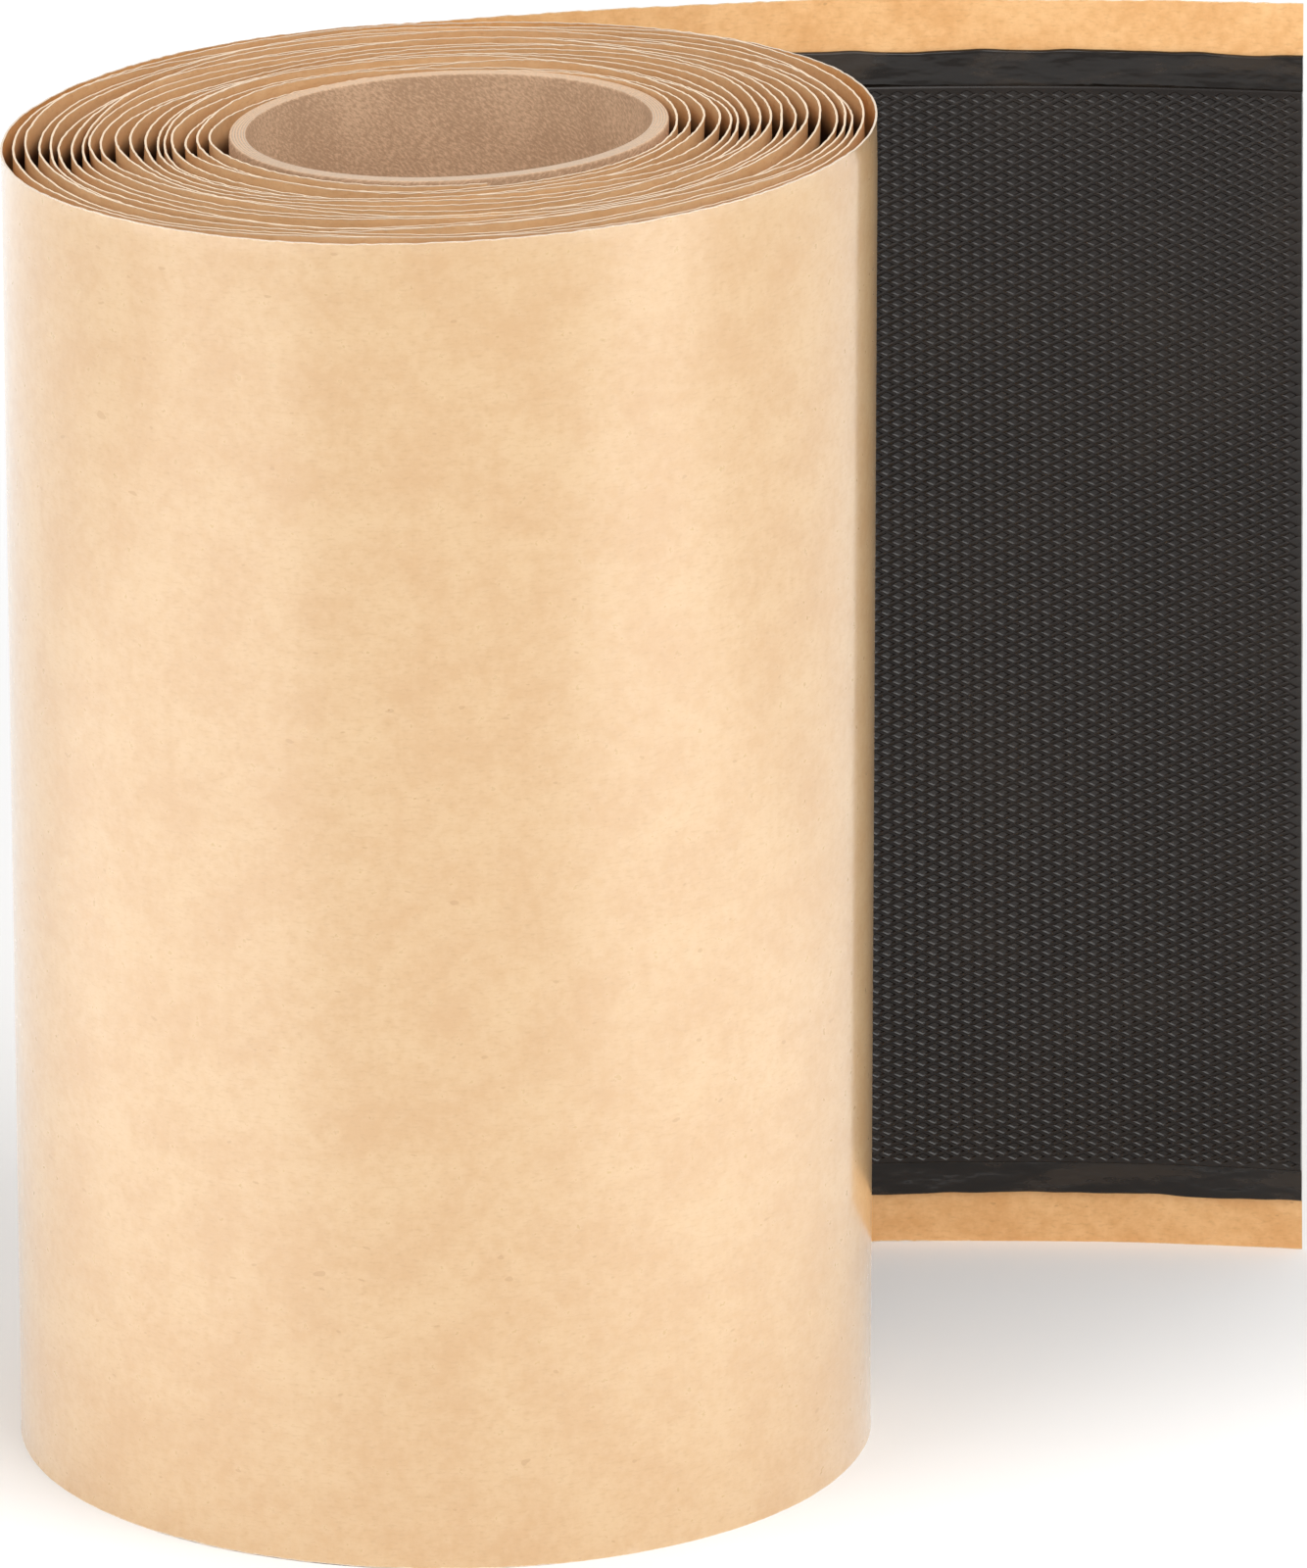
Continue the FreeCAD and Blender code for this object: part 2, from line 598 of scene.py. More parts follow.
@dataclass(frozen=True)
class Winding:
    """The strip's layers and the spiral that they are wound in."""

    core_radius: float
    outer_radius: float
    centre_x: float
    centre_y: float
    length: float
    adhesive_width: float
    membrane_width: float
    liner: float = 0.25 * MM
    adhesive: float = 0.85 * MM
    membrane: float = 1.10 * MM
    turns_on_left: int = 19
    out_of_square: float = math.tan(math.radians(2.21))

    @classmethod
    def from_frame(cls) -> "Winding":
        """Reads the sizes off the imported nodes.

        Returns:
            The winding. The right half's radius is half a pitch less than the left
            half's, which makes the outer radius half of their width and half a pitch.
        """
        low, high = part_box("wound_turns")
        pitch = cls.liner + cls.adhesive + cls.membrane
        outer = (high.x - low.x + pitch / 2) / 2
        glue_low, glue_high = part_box("tail_adhesive")
        skin_low, skin_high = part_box("tail_membrane")
        return cls(
            core_radius=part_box("core_tube")[1].x,
            outer_radius=outer,
            centre_x=low.x + outer,
            centre_y=high.y - outer - pitch / 4,
            length=high.z,
            adhesive_width=glue_high.z - glue_low.z,
            membrane_width=skin_high.z - skin_low.z,
        )

    @property
    def pitch(self) -> float:
        """The thickness of the whole strip."""
        return self.liner + self.adhesive + self.membrane

    @property
    def liner_margin(self) -> float:
        """How far the liner reaches past the adhesive at each end."""
        return (self.length - self.adhesive_width) / 2

    @property
    def tape_margin(self) -> float:
        """How far the liner reaches past the membrane at each end."""
        return (self.length - self.membrane_width) / 2

    @property
    def last_turn(self) -> float:
        """Where the strip begins, on the core: half a turn past the last whole turn."""
        return self.turns_on_left - 0.5

    @property
    def step_off(self) -> tuple[float, float]:
        """Where the free end leaves the turns, in plan, on the liner's outer face."""
        return self.centre_x, self.centre_y + self.outer_radius + self.pitch / 4

    def radius(self, turn: Array) -> Array:
        """The liner's outer radius: it falls by the pitch with each turn, evenly."""
        return self.outer_radius + self.pitch / 4 - self.pitch * turn

    def angle(self, turn: Array) -> Array:
        """The polar angle of a turn: from the back over the left side and the front."""
        return BACK + FULL_TURN * turn

    def along(self, turn: Array) -> Array:
        """The length of strip from the step at the back to a turn, as radius times angle."""
        start = self.outer_radius + self.pitch / 4
        return FULL_TURN * (start * turn - self.pitch * turn * turn / 2)

    def place(self, turn: Array, inward: Array | float, height: Array) -> Array:
        """Points on the wound strip.

        Args:
            turn: the turn of each point.
            inward: its depth under the liner's outer face.
            height: its height when the strip lies level.

        Returns:
            The points. A point is out from the turns' middle by its radius, and the
            strip rises to the right, by a share that grows evenly with height.
        """
        turn, inward, height = np.broadcast_arrays(turn, inward, height)
        reach = self.radius(turn) - inward
        x = self.centre_x + reach * np.cos(self.angle(turn))
        y = self.centre_y + reach * np.sin(self.angle(turn))
        return self.skewed(np.stack([x, y, height], axis=-1))

    def skewed(self, points: Array) -> Array:
        """Lifts points by out_of_square times their x, fully at the top end."""
        lift = self.out_of_square * (points[..., 0] - self.centre_x)
        moved = points.copy()
        moved[..., 2] += lift * points[..., 2] / self.length
        return moved


@dataclass(frozen=True)
class FreeEnd:
    """The route of the strip's free end: it lifts off the roll, then curls forward."""

    start: tuple[float, float]
    width: float
    lift_angle: float = math.radians(6.5)
    lift_radius: float = 200 * MM
    curl_angle: float = math.radians(28.5)
    curl_radius: float = 335 * MM
    short_at_top: float = 0.6 * MM
    long_at_bottom: float = 3.2 * MM

    def reach(self, height: Array) -> Array:
        """The free end's length at a height, because its cut isn't quite square."""
        whole = self.lift_angle * self.lift_radius + self.curl_angle * self.curl_radius
        share = height / self.width
        return whole + self.long_at_bottom * (1 - share) - self.short_at_top * share

    def place(self, along: Array, inward: Array | float, height: Array) -> Array:
        """Points on the free end.

        Args:
            along: each point's distance from the step at the roll's back.
            inward: its depth under the liner's outer face.
            height: its height.

        Returns:
            The points. On each arc of radius r, x gains r times the change in the
            heading's sine and y gains r times the change in its cosine.
        """
        along, inward, height = np.broadcast_arrays(along, inward, height)
        lifted = self.lift_angle * self.lift_radius
        on_lift = along < lifted
        curl = self.lift_angle - (along - lifted) / self.curl_radius
        heading = np.where(on_lift, along / self.lift_radius, curl)
        corner_x = self.lift_radius * math.sin(self.lift_angle)
        corner_y = self.lift_radius * (1 - math.cos(self.lift_angle))
        curl_x = corner_x + self.curl_radius * (math.sin(self.lift_angle) - np.sin(heading))
        curl_y = corner_y + self.curl_radius * (np.cos(heading) - math.cos(self.lift_angle))
        x = np.where(on_lift, self.lift_radius * np.sin(heading), curl_x)
        y = np.where(on_lift, self.lift_radius * (1 - np.cos(heading)), curl_y)
        x = self.start[0] + x + inward * np.sin(heading)
        y = self.start[1] + y - inward * np.cos(heading)
        return np.stack([x, y, height], axis=-1)


@dataclass(frozen=True)
class LooseEdges:
    """How the liner's free edges stray, above and below the tape that they are stuck to.

    Neighbouring edges crowd together in places and gape in others. Each also has kinks
    of its own, and is a little long or short.
    """

    winding: Winding
    crowding: float = 0.72
    crowding_at_sides: float = 0.45
    spans: tuple[float, ...] = (7.0 * MM, 11.5 * MM, 19.0 * MM)
    wave_height: float = 1.4
    wander: float = 1.8
    kink: float = 0.18 * MM
    kink_spacing: float = 10 * MM
    folds: tuple[tuple[float, float], ...] = ((8.742, 0.55 * MM), (7.742, -0.35 * MM))
    fold_reach: float = 8 * MM
    uneven: float = 0.85 * MM
    outermost_uneven: float = 0.25 * MM
    uneven_length: float = 190 * MM
    fray: float = 0.09 * MM

    def sideways(self, turn: Array, end: End) -> Array:
        """How far the very edge strays outwards.

        Args:
            turn: the turn of each point.
            end: the end of the roll.

        Returns:
            The distances: a sum of waves in radius and angle, so low that no edges
            meet, fading out at the core and at the outermost turn, plus the kinks and
            the folds.
        """
        w = self.winding
        radius = w.radius(turn)
        angle = w.angle(turn)
        draws = np.random.default_rng(20 + end.value)
        spread = np.zeros_like(turn)
        for number, span in enumerate(self.spans):
            phase, sway = draws.uniform(0, FULL_TURN, 2)
            wander = self.wander * np.sin((1 + number) * angle + sway)
            height = span / FULL_TURN / len(self.spans) * self.wave_height
            spread += height * np.sin(FULL_TURN * radius / span + wander + phase)
        added = self.crowding - self.crowding_at_sides
        spread *= self.crowding_at_sides + added * np.sin(angle) ** 2
        fade = smooth_share(radius, w.core_radius, w.core_radius + 6 * MM)
        fade *= smooth_share(radius, w.outer_radius + 1 * MM, w.outer_radius - 7 * MM)
        along = w.along(turn)
        kinks = broken_line(along, self.kink_spacing, 40 + end.value)
        stray = spread * fade + self.kink * kinks * (0.3 + 0.7 * fade)
        for place, height in self.folds:
            from_fold = np.abs(along - w.along(np.array(place)))
            stray += height * np.clip(1 - from_fold / self.fold_reach, 0, 1)
        return stray

    def lengthways(self, turn: Array, end: End) -> Array:
        """How far the very edge reaches past its level.

        Args:
            turn: the turn of each point.
            end: the end of the roll.

        Returns:
            The distances: slow waves and fray, less where it falls short.
        """
        slow = slow_wave(self.winding.along(turn), self.uneven_length, 60 + end.value)
        ragged = np.random.default_rng(80 + end.value).uniform(-1, 1, turn.shape)
        inner = smooth_share(turn, 1.0, 2.0) if end is End.TOP else 0.0
        height = self.outermost_uneven + (self.uneven - self.outermost_uneven) * inner
        return height * slow + self.fray * ragged


@dataclass(frozen=True)
class ViewCamera:
    """The camera: its place and aim, fitted to the outlines in the photograph."""

    place: tuple[float, float, float] = (-0.4328, -2.2228, 0.8278)
    yaw: float = math.radians(12.0)
    pitch: float = math.radians(17.147)
    lens: float = 282.24
    sensor: float = 36.0
    nearest: float = 0.1

    def facing(self) -> Vector:
        """The direction that the camera looks in."""
        level = math.cos(self.pitch)
        return Vector((level * math.sin(self.yaw), level * math.cos(self.yaw), -math.sin(self.pitch)))

    def build(self) -> bpy.types.Object:
        """Makes the camera and gives it to the scene.

        Returns:
            The camera's object.
        """
        data = bpy.data.cameras.new("camera")
        data.lens = self.lens
        data.sensor_width = self.sensor
        data.clip_start = self.nearest
        camera = bpy.data.objects.new("camera", data)
        bpy.context.scene.collection.objects.link(camera)
        turned = self.facing().to_track_quat("-Z", "Y").to_matrix().to_4x4()
        camera.matrix_world = Matrix.Translation(self.place) @ turned
        bpy.context.scene.camera = camera
        return camera


@dataclass(frozen=True)
class Bearings:
    """Level directions from the roll's axis, in degrees from the camera's side to the right."""

    yaw: float

    def level(self, bearing: float) -> Vector:
        """The direction at a bearing."""
        angle = math.radians(bearing) - BACK - self.yaw
        return Vector((math.cos(angle), math.sin(angle), 0.0))


@dataclass(frozen=True)
class Panel:
    """A rectangular light that the camera doesn't see; its spread is in radians."""

    name: str
    width: float
    height: float
    radiance: float
    spread: float = math.pi

    def build(self, place: Vector, facing: Vector, across: Vector) -> None:
        """Makes the light.

        Args:
            place: its middle.
            facing: the direction that it shines in.
            across: the direction of its width, at right angles to facing.
        """
        data = bpy.data.lights.new(self.name, "AREA")
        data.shape = "RECTANGLE"
        data.size = self.width
        data.size_y = self.height
        data.energy = self.radiance * math.pi * self.width * self.height
        data.spread = self.spread
        light = bpy.data.objects.new(self.name, data)
        bpy.context.scene.collection.objects.link(light)
        turned = Matrix((across, across.cross(facing), -facing)).transposed().to_4x4()
        light.matrix_world = Matrix.Translation(place) @ turned
        light.visible_camera = False


@dataclass(frozen=True)
class Softbox:
    """A light on a stand, with its middle at one height and aimed at another."""

    panel: Panel
    bearing: float
    distance: float
    middle: float
    aim: float = 0.15

    def build(self, bearings: Bearings) -> None:
        """Makes the light.

        Args:
            bearings: the directions that its bearing is one of.
        """
        place = self.distance * bearings.level(self.bearing) + Vector((0, 0, self.middle))
        facing = (Vector((0, 0, self.aim)) - place).normalized()
        self.panel.build(place, facing, bearings.level(self.bearing + 90))


@dataclass(frozen=True)
class TableLight:
    """A light that hangs over the table and faces straight down.

    The roll's shiny wall mirrors the two beside it, and they are turned so that their
    edges run along the rays from the places where its bright bands end.
    """

    panel: Panel
    middle: tuple[float, float]
    turned: float
    hung_at: float

    def build(self, bearings: Bearings) -> None:
        """Makes the light, with its width at a bearing."""
        place = Vector((*self.middle, self.hung_at))
        self.panel.build(place, Vector((0, 0, -1)), bearings.level(self.turned))


@dataclass(frozen=True)
class Studio:
    """The pale floor, the even surround, the softboxes and the table lights."""

    yaw: float
    floor_reach: float = 6.0
    floor_colour: Colour = (0.95, 0.95, 0.95)
    floor_roughness: float = 0.9
    surround: Colour = (1.0, 1.0, 1.0)
    surround_strength: float = 0.66
    lights: tuple[Softbox | TableLight, ...] = (
        Softbox(Panel("high_left_softbox", 1.0, 0.8, 2.1), -50.0, 1.2, 1.30),
        Softbox(Panel("high_right_softbox", 1.0, 0.8, 4.0), 45.0, 0.75, 1.55),
        Softbox(Panel("right_window", 0.44, 0.5, 1.00), 58.5, 0.8, 0.294),
        Softbox(Panel("left_window", 1.44, 0.5, 0.35), -78.0, 0.8, 0.294),
        TableLight(Panel("left_table_light", 0.62, 0.9, 0.6, 0.7), (-0.629, -0.184), -126.0, 0.36),
        TableLight(Panel("right_table_light", 0.42, 0.85, 0.55, 0.7), (0.412, -0.428), 128.0, 0.36),
        TableLight(Panel("back_table_light", 2.2, 1.1, 0.42, 1.0), (0.10, 1.35), 102.0, 1.2),
    )

    def build(self) -> None:
        """Makes the floor, the world and the lights."""
        corners = self.floor_reach * np.array([(-1, -1, 0), (1, -1, 0), (1, 1, 0), (-1, 1, 0)])
        floor = place_mesh("floor", corners, [np.arange(4)[None, :]])
        g = Graph("pale_floor")
        g.dress(Base_Color=(*self.floor_colour, 1.0), Roughness=self.floor_roughness)
        floor.data.materials.append(g.material)
        world = bpy.data.worlds.new("surround")
        world.use_nodes = True
        sky = world.node_tree.nodes["Background"]
        sky.inputs["Color"].default_value = (*self.surround, 1.0)
        sky.inputs["Strength"].default_value = self.surround_strength
        bpy.context.scene.world = world
        bearings = Bearings(self.yaw)
        for light in self.lights:
            light.build(bearings)
        bpy.context.scene.view_settings.view_transform = "Standard"


@dataclass(frozen=True)
class CoreTube:
    """The paperboard tube, with its plies showing as rings on its ends."""

    winding: Winding
    bore_radius: float
    plies: int = 6
    ply_groove: float = 0.10 * MM
    rounding: float = 0.35 * MM
    around: int = 256

    def end_profile(self) -> Array:
        """Radius and depth below the end, from the bore out.

        Returns:
            The points. The depth is a low arch for each ply, deepest between plies,
            plus a quarter circle of the rounding's radius at both corners.
        """
        wall = self.winding.core_radius - self.bore_radius
        even = np.linspace(0.0, 1.0, 8 * self.plies + 1)
        across = np.unique(np.concatenate([even, [0.02, 0.05, 0.95, 0.98]]))
        from_edge = np.minimum(across, 1 - across) * wall
        near = np.clip(1 - from_edge / self.rounding, 0, 1)
        rounded = self.rounding * (1 - np.sqrt(1 - near * near))
        grooves = self.ply_groove * (1 - np.abs(np.sin(math.pi * self.plies * across)) ** 0.6)
        return np.stack([self.bore_radius + across * wall, rounded + grooves], axis=1)

    def build(self, finish: BoardFinish) -> bpy.types.Object:
        """Turns the profile about the core's axis.

        Args:
            finish: the board's finish.

        Returns:
            The tube: a ring of profile points at each angle, with the top end cut as
            far out of square as the turns beside it.
        """
        w = self.winding
        profile = self.end_profile()
        top = profile[::-1] * (1, -1) + (0, w.length)
        radius, height = np.concatenate([profile, top]).T
        angle = np.arange(self.around)[:, None] * FULL_TURN / self.around
        x, y, z = np.broadcast_arrays(radius * np.cos(angle), radius * np.sin(angle), height)
        rings = w.skewed(np.stack([x, y, z], axis=-1))
        piece = swept("paperboard_core_tube", rings, closed=True)
        piece.data.materials.append(finish.material())
        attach(piece, BODY)
        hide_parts("core_tube")
        return piece


@dataclass(frozen=True)
class WoundStrip:
    """The turns under the outermost one: the liner's spiral and the tape's."""

    winding: Winding
    edges: LooseEdges
    liner_stations: int = 250
    tape_stations: int = 90
    shares_of_margin: tuple[float, ...] = (0.0, 0.03, 0.36, 0.70, 1.0)
    frayed_share: float = 0.02
    frayed: float = 0.40 * MM

    def liner_rings(self, turn: Array, rows: Array) -> tuple[Array, Array]:
        """The liner's section at each turn, as a ring, and its place on the strip.

        Args:
            turn: the stations.
            rows: the heights of the section's rows.

        Returns:
            The rings and the places. A row strays sideways and lengthways by a share
            of what its edge does, from 0 where the tape ends to 1 at the edge.
        """
        w = self.winding
        outward = np.zeros((len(turn), len(rows)))
        lift = np.zeros_like(outward)
        for end in End:
            from_edge = rows if end is End.BOTTOM else w.length - rows
            share = 1 - smooth_share(from_edge, 0.0, w.liner_margin)
            outward += self.edges.sideways(turn, end)[:, None] * share
            lift += end.value * self.edges.lengthways(turn, end)[:, None] * share**2
        from_either = np.minimum(rows, w.length - rows)
        at_edge = from_either < self.frayed_share * w.liner_margin
        extra = np.where(at_edge, (self.frayed - w.liner) / 2, 0.0)
        height = np.maximum(rows + lift, 0.0)
        torn = np.random.default_rng(5).uniform(0.5, 1.5, (2, len(turn), 1))
        outer = w.place(turn[:, None], -outward - extra * torn[0], height)
        inner = w.place(turn[:, None], -outward + w.liner + extra * torn[1], height)
        face = np.stack(np.broadcast_arrays(w.along(turn)[:, None], rows), axis=-1)
        return there_and_back(outer, inner), there_and_back(face, face)

    def build_liner(self, kraft: LinerFinish) -> bpy.types.Object:
        """Makes the liner of all the turns under the outermost one.

        Args:
            kraft: the liner's finish.

        Returns:
            The piece, with its rows over the two free edges and none between.
        """
        w = self.winding
        turn = np.linspace(1.0, w.last_turn, int((w.last_turn - 1) * self.liner_stations))
        low = w.liner_margin * np.array(self.shares_of_margin)
        rows = np.concatenate([low, w.length - low[::-1]])
        rings, strip = self.liner_rings(turn, rows)
        piece = swept("inner_liner_turns", rings, strip)
        kraft.dress(piece, len(rows), w.length)
        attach(piece, BODY)
        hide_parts("wound_turns")
        return piece

    def build_tape(self, butyl: bpy.types.Material) -> bpy.types.Object:
        """Makes the black tape between the turns of the liner: adhesive and membrane.

        Args:
            butyl: the adhesive's material.

        Returns:
            The piece: the two layers' stepped section, swept along the spiral.
        """
        w = self.winding
        turn = np.linspace(0.0, w.last_turn, int(w.last_turn * self.tape_stations))
        glue, skin = w.liner_margin, w.tape_margin
        glue_depth = w.liner + w.adhesive
        section = np.array(
            [
                (w.liner, glue),
                (w.liner, w.length - glue),
                (glue_depth, w.length - glue),
                (glue_depth, w.length - skin),
                (w.pitch, w.length - skin),
                (w.pitch, skin),
                (glue_depth, skin),
                (glue_depth, glue),
            ]
        )
        depth, height = section.T
        rings = w.place(turn[:, None], depth, height)
        strip = np.stack(np.broadcast_arrays(w.along(turn)[:, None], height), axis=-1)
        piece = swept("inner_tape_turns", rings, strip)
        piece.data.materials.append(butyl)
        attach(piece, BODY)
        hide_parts("wound_turns")
        return piece


@dataclass(frozen=True)
class FreeStrip:
    """The outermost turn's liner, which runs on into the free end, and the adhesive there."""

    winding: Winding
    path: FreeEnd
    edges: LooseEdges
    shares_of_margin: tuple[float, ...] = (0.0, 0.03, 0.3, 0.6, 1.0)
    middle_rows: int = 24
    liner_station: float = 1.6 * MM
    settle: float = 25 * MM
    fray: float = 0.12 * MM
    fray_reach: float = 2 * MM
    drift: float = 0.30 * MM
    ripple: float = 0.35 * MM
    glue_station: float = 1.2 * MM
    glue_wander: float = 0.35 * MM
    glue_reach: float = 9 * MM
    bead: float = 0.45 * MM
    lump: float = 0.05 * MM
    thinnest: float = 0.02 * MM

    def stations(self, spacing: float) -> Array:
        """Shares of the free end's length, from 1 at the cut to 0 at the roll."""
        return np.linspace(1.0, 0.0, int(self.path.reach(np.array(0.0)) / spacing))[:, None]

    def free_liner_rings(self, rows: Array) -> tuple[Array, Array]:
        """The liner's section along the free end, and its place on the strip.

        Args:
            rows: the heights of the section's rows.

        Returns:
            The rings and the places. Slow waves move the rows up and down and in and
            out, most at the edges and not at all at the roll, and the edges are frayed.
        """
        w = self.winding
        share = self.stations(self.liner_station)[:-1]
        along = share * self.path.reach(rows)
        ragged = np.random.default_rng(7).uniform(-1, 1, (2, len(share)))
        side = np.where(rows > w.length / 2, 0, 1)
        from_edge = np.minimum(rows, w.length - rows)
        lift = self.fray * ragged[side].T * np.clip(1 - from_edge / self.fray_reach, 0, 1)
        loose = np.clip(1 - from_edge / w.liner_margin, 0, 1) * smooth_share(along, 0.0, self.settle)
        drift = self.drift * slow_wave(along, 170 * MM, 9) * loose
        ripple = self.ripple * slow_wave(along, 90 * MM, 11) * loose
        height = np.maximum(rows + lift + drift, 0.0)
        outer = self.path.place(along, -ripple, height)
        inner = self.path.place(along, w.liner - ripple, height)
        face = np.stack(np.broadcast_arrays(-along, rows), axis=-1)
        return there_and_back(outer, inner), there_and_back(face, face)

    def build_liner(self, kraft: LinerFinish) -> bpy.types.Object:
        """Makes the liner from the free end's cut to the end of the outermost turn.

        Args:
            kraft: the liner's finish.

        Returns:
            The piece: the free end's rings and then the outermost turn's.
        """
        w = self.winding
        low = w.liner_margin * np.array(self.shares_of_margin)
        middle = np.linspace(low[-1], w.length - low[-1], self.middle_rows + 2)[1:-1]
        rows = np.concatenate([low, middle, w.length - low[::-1]])
        turn = np.linspace(0.0, 1.0, int(w.along(np.array(1.0)) / self.liner_station))
        free_rings, free_strip = self.free_liner_rings(rows)
        rings, strip = WoundStrip(w, self.edges).liner_rings(turn, rows)
        rings = np.concatenate([free_rings, rings])
        piece = swept("outer_liner", rings, np.concatenate([free_strip, strip]))
        kraft.dress(piece, len(rows), w.length)
        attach(piece, BODY)
        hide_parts("wound_turns", "tail_liner")
        return piece

    def build_adhesive(self, butyl: bpy.types.Material) -> bpy.types.Object:
        """Makes the free end's adhesive, whose edges wander and are rounded.

        Args:
            butyl: the adhesive's material.

        Returns:
            The piece: a thin slab whose inner face falls to the liner at both edges
            along a quarter circle and has slow lumps.
        """
        w = self.winding
        offsets = np.array([0.0, 0.06, 0.2, 0.45, 0.8, 1.4, 2.4, 3.6, 4.8, 6.0, 7.2]) * MM
        middle = np.linspace(0.05, 0.95, 12) * w.adhesive_width
        rows = np.concatenate([offsets, middle, w.adhesive_width - offsets[::-1]])
        along = self.stations(self.glue_station) * self.path.reach(w.liner_margin + rows)
        from_edge = np.minimum(rows, w.adhesive_width - rows)
        near_edge = np.clip(1 - from_edge / self.glue_reach, 0, 1)
        sign = np.where(rows > w.adhesive_width / 2, 1.0, -1.0)
        wander = slow_wave(along, 60 * MM, 13) + 0.5 * slow_wave(along, 23 * MM, 17) * sign
        height = w.liner_margin + rows + self.glue_wander * wander * near_edge
        rise = np.sqrt(1 - np.clip(1 - from_edge / self.bead, 0, 1) ** 2)
        lumps = self.lump * slow_wave(along + 3 * height, 31 * MM, 19) * near_edge
        thick = np.maximum((w.adhesive + lumps) * rise, self.thinnest)
        outer = self.path.place(along, w.liner, height)
        inner = self.path.place(along, w.liner + thick, height)
        face = np.stack([-along, height], axis=-1)
        piece = swept("free_adhesive", there_and_back(outer, inner), there_and_back(face, face))
        piece.data.materials.append(butyl)
        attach(piece, BODY)
        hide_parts("tail_adhesive")
        return piece


class Skin:
    """A mesh in the making: its points, their places on the strip, and its faces."""

    def __init__(self) -> None:
        """Starts with no points and no faces."""
        self.points: list[Array] = []
        self.places: list[Array] = []
        self.faces: list[Array] = []

    def add(self, points: Array, places: Array) -> Array:
        """Adds points.

        Args:
            points: the points, one to a row.
            places: their places on the strip.

        Returns:
            Their numbers in the mesh.
        """
        start = sum(len(known) for known in self.points)
        self.points.append(points)
        self.places.append(places)
        return start + np.arange(len(points))

    def join(self, first: Array, second: Array) -> None:
        """Adds the faces between two rows of points, given by their numbers."""
        self.faces.append(np.stack([first[1:], second[1:], second[:-1], first[:-1]], axis=1))


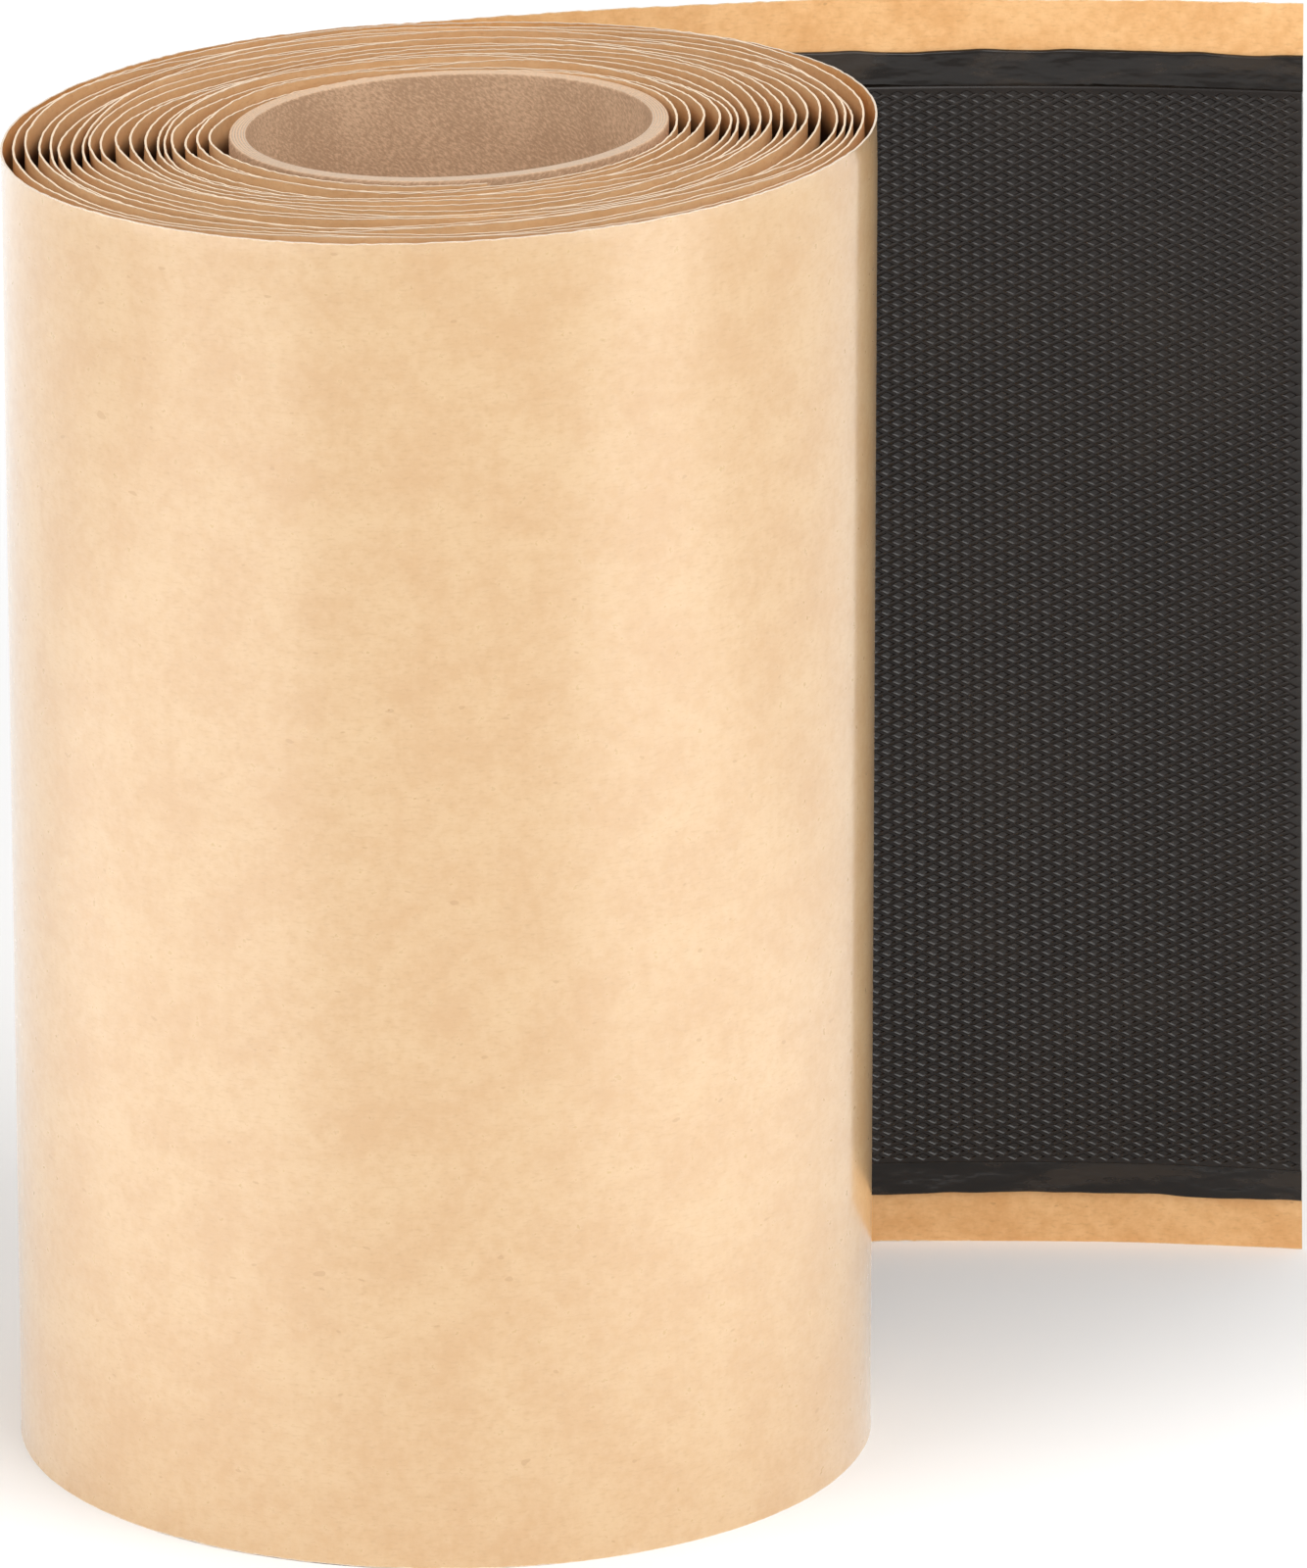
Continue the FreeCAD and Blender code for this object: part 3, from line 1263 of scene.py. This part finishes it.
@dataclass(frozen=True)
class FreeMembrane:
    """The free end's membrane, embossed with lozenges in a brick pattern.

    Its face is a net, with columns along the strip and rows across it. The knots are
    where column and row add up to an odd number, and four of them surround the middle
    of each lozenge.
    """

    winding: Winding
    path: FreeEnd
    lozenge_length: float = 4.7 * MM
    lozenge_height: float = 2.25 * MM
    rim_share: float = 0.70
    pan_share: float = 0.48
    rim_height: float = 0.14 * MM
    pan_depth: float = 0.10 * MM
    chamfer: float = 0.30 * MM

    @property
    def columns(self) -> int:
        """The net's last column: two to a lozenge."""
        length = float(self.path.reach(np.array(self.winding.length / 2)))
        return 2 * round(length / self.lozenge_length)

    @property
    def rows(self) -> int:
        """The net's last row: two to a lozenge."""
        return 2 * round(self.winding.membrane_width / self.lozenge_height)

    def on_face(
        self, column: Array, row: Array, raised: float, inset: float
    ) -> tuple[Array, Array]:
        """Points on the net.

        Args:
            column: each point's column, from the cut to the roll.
            row: its row, from the bottom up.
            raised: its height above the face.
            inset: how far the first and the last row lie inside the membrane's edges.

        Returns:
            The points, evenly spread by column and by row, and their places on the strip.
        """
        w = self.winding
        height = w.tape_margin + inset + (w.membrane_width - 2 * inset) * row / self.rows
        along = self.path.reach(height) * (1 - column / self.columns)
        points = self.path.place(along, w.pitch + raised, height)
        return points, np.stack([-along, height], axis=-1)

    def add_net(self, skin: Skin) -> Array:
        """Adds the net's knots and its four corners.

        Args:
            skin: the mesh in the making.

        Returns:
            The number of the point at each column and row, and -1 where there is none.
        """
        column, row = np.indices((self.columns + 1, self.rows + 1))
        kept = (column + row) % 2 == 1
        kept[[0, 0, -1, -1], [0, -1, 0, -1]] = True
        number = np.full(kept.shape, -1)
        number[kept] = skin.add(*self.on_face(column[kept], row[kept], 0.0, self.chamfer))
        return number

    def add_lozenges(self, skin: Skin, number: Array) -> None:
        """Adds the lozenges, and the halves of them that fill the net's edges.

        Args:
            skin: the mesh in the making.
            number: the net's numbers. Inside each of its lozenges lie a raised rim and
                a sunk pan, both smaller lozenges with the same middle.
        """
        is_middle = np.indices(number.shape).sum(axis=0) % 2 == 0
        column, row = np.argwhere(is_middle[1:-1, 1:-1]).T + 1
        steps = np.array([(0, 1), (1, 0), (0, -1), (-1, 0)])
        around = np.stack([number[column + i, row + j] for i, j in steps], axis=1)
        for share, raised in ((self.rim_share, self.rim_height), (self.pan_share, -self.pan_depth)):
            columns = column[:, None] + share * steps[:, 0]
            rows = row[:, None] + share * steps[:, 1]
            added = skin.add(*self.on_face(columns.ravel(), rows.ravel(), raised, self.chamfer))
            smaller = added.reshape(-1, 4)
            ahead = np.roll(around, -1, axis=1), np.roll(smaller, -1, axis=1)
            skin.faces.append(np.stack([around, *ahead, smaller], axis=-1).reshape(-1, 4))
            around = smaller
        skin.faces.append(around)
        i, j = np.arange(2, self.columns, 2), np.arange(2, self.rows, 2)
        halves = (
            (number[0, j + 1], number[1, j], number[0, j - 1]),
            (number[-1, j - 1], number[-2, j], number[-1, j + 1]),
            (number[i - 1, 0], number[i, 1], number[i + 1, 0]),
            (number[i + 1, -1], number[i, -2], number[i - 1, -1]),
        )
        skin.faces += [np.stack(half, axis=1) for half in halves]
        n = number
        corners = (
            (n[0, 1], n[1, 0], n[0, 0]),
            (n[-2, 0], n[-1, 1], n[-1, 0]),
            (n[-1, -2], n[-2, -1], n[-1, -1]),
            (n[1, -1], n[0, -2], n[0, -1]),
        )
        skin.faces.append(np.array(corners))

    def close(self, skin: Skin, number: Array) -> None:
        """Adds the chamfers, the four edges and the flat back.

        Args:
            skin: the mesh in the making.
            number: the net's numbers.
        """
        stops = np.unique([0, *range(1, self.columns, 2), self.columns])
        levels = np.unique([0, *range(1, self.rows, 2), self.rows])
        layers = [number[stops][:, [0, -1]].T]
        for raised in (-self.chamfer, -self.winding.membrane):
            rows = (np.full_like(stops, level) for level in (0, self.rows))
            layers.append([skin.add(*self.on_face(stops, row, raised, 0.0)) for row in rows])
        _, middle, back = layers
        skin.join(*back)
        for near, far in zip(layers[:-1], layers[1:]):
            skin.join(near[0], far[0])
            skin.join(far[1], near[1])
        at_cut = [middle[0][0], back[0][0], back[1][0], middle[1][0]]
        at_roll = [middle[1][-1], back[1][-1], back[0][-1], middle[0][-1]]
        skin.faces.append(np.concatenate([number[0, levels][::-1], at_cut])[None, :])
        skin.faces.append(np.concatenate([number[-1, levels], at_roll])[None, :])

    def build(self, rubber: bpy.types.Material) -> bpy.types.Object:
        """Makes the membrane.

        Args:
            rubber: the membrane's material.

        Returns:
            The piece.
        """
        skin = Skin()
        number = self.add_net(skin)
        self.add_lozenges(skin, number)
        self.close(skin, number)
        points, places = np.concatenate(skin.points), np.concatenate(skin.places)
        piece = place_mesh("free_membrane", points, skin.faces, places)
        piece.data.materials.append(rubber)
        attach(piece, BODY)
        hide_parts("tail_membrane")
        return piece


def report(piece: bpy.types.Object) -> None:
    """Logs a piece's name and its number of faces."""
    LOG.info("%s: %d faces", piece.name, len(piece.data.polygons))


def main() -> None:
    """Builds the camera, the studio and every piece of the roll, in order."""
    logging.basicConfig(level=logging.INFO, format="%(name)s %(message)s")
    camera = ViewCamera()
    camera.build()
    Studio(camera.yaw).build()
    winding = Winding.from_frame()
    edges = LooseEdges(winding)
    bore = next(m for m in frame["record"]["mounts"] if m["name"] == "core_bore")
    butyl = ButylFinish().material()
    rubber = RubberFinish().material()
    report(CoreTube(winding, bore["dims"]["r_mm"] * MM).build(BoardFinish()))
    wound = WoundStrip(winding, edges)
    report(wound.build_liner(INNER_LINER))
    report(wound.build_tape(butyl))
    path = FreeEnd(winding.step_off, winding.length)
    free = FreeStrip(winding, path, edges)
    report(free.build_liner(OUTER_LINER))
    report(free.build_adhesive(butyl))
    report(FreeMembrane(winding, path).build(rubber))


if __name__ == "__main__":
    main()
